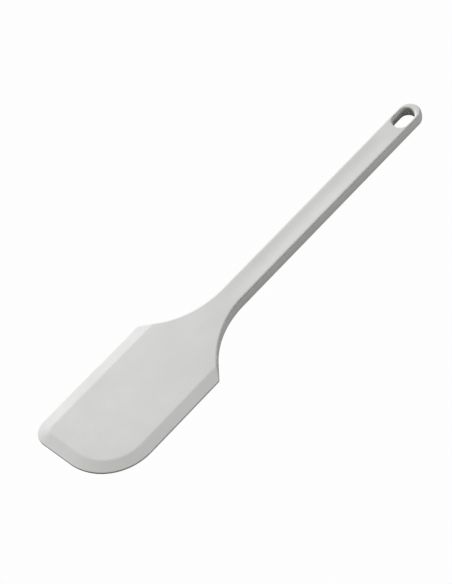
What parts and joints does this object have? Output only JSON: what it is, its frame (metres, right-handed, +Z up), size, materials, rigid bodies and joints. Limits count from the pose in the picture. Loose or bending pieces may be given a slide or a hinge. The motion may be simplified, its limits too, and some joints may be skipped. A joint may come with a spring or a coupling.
{
  "type": "silicone spatula",
  "caption": "Straight silicone kitchen spatula with a bevelled blade, one tight and one wide tip corner, a swept neck and a flat handle with a hanging slot.",
  "frame": {"origin": "middle of the overall length and width, on the plane the handle's underside lies on", "axes": "+X from the blade's tip towards the hanging end, +Y across towards the tighter tip corner, +Z up out of the broad face"},
  "size_m": [0.28, 0.06, 0.007],
  "materials": {
    "silicone": "fine matte moulded silicone, light neutral grey",
    "nylon": "glass-filled nylon, matte dark grey"
  },
  "bodies": {
    "root": {"silicone_body": "silicone", "nylon_core": "nylon"}
  },
  "joints": []
}
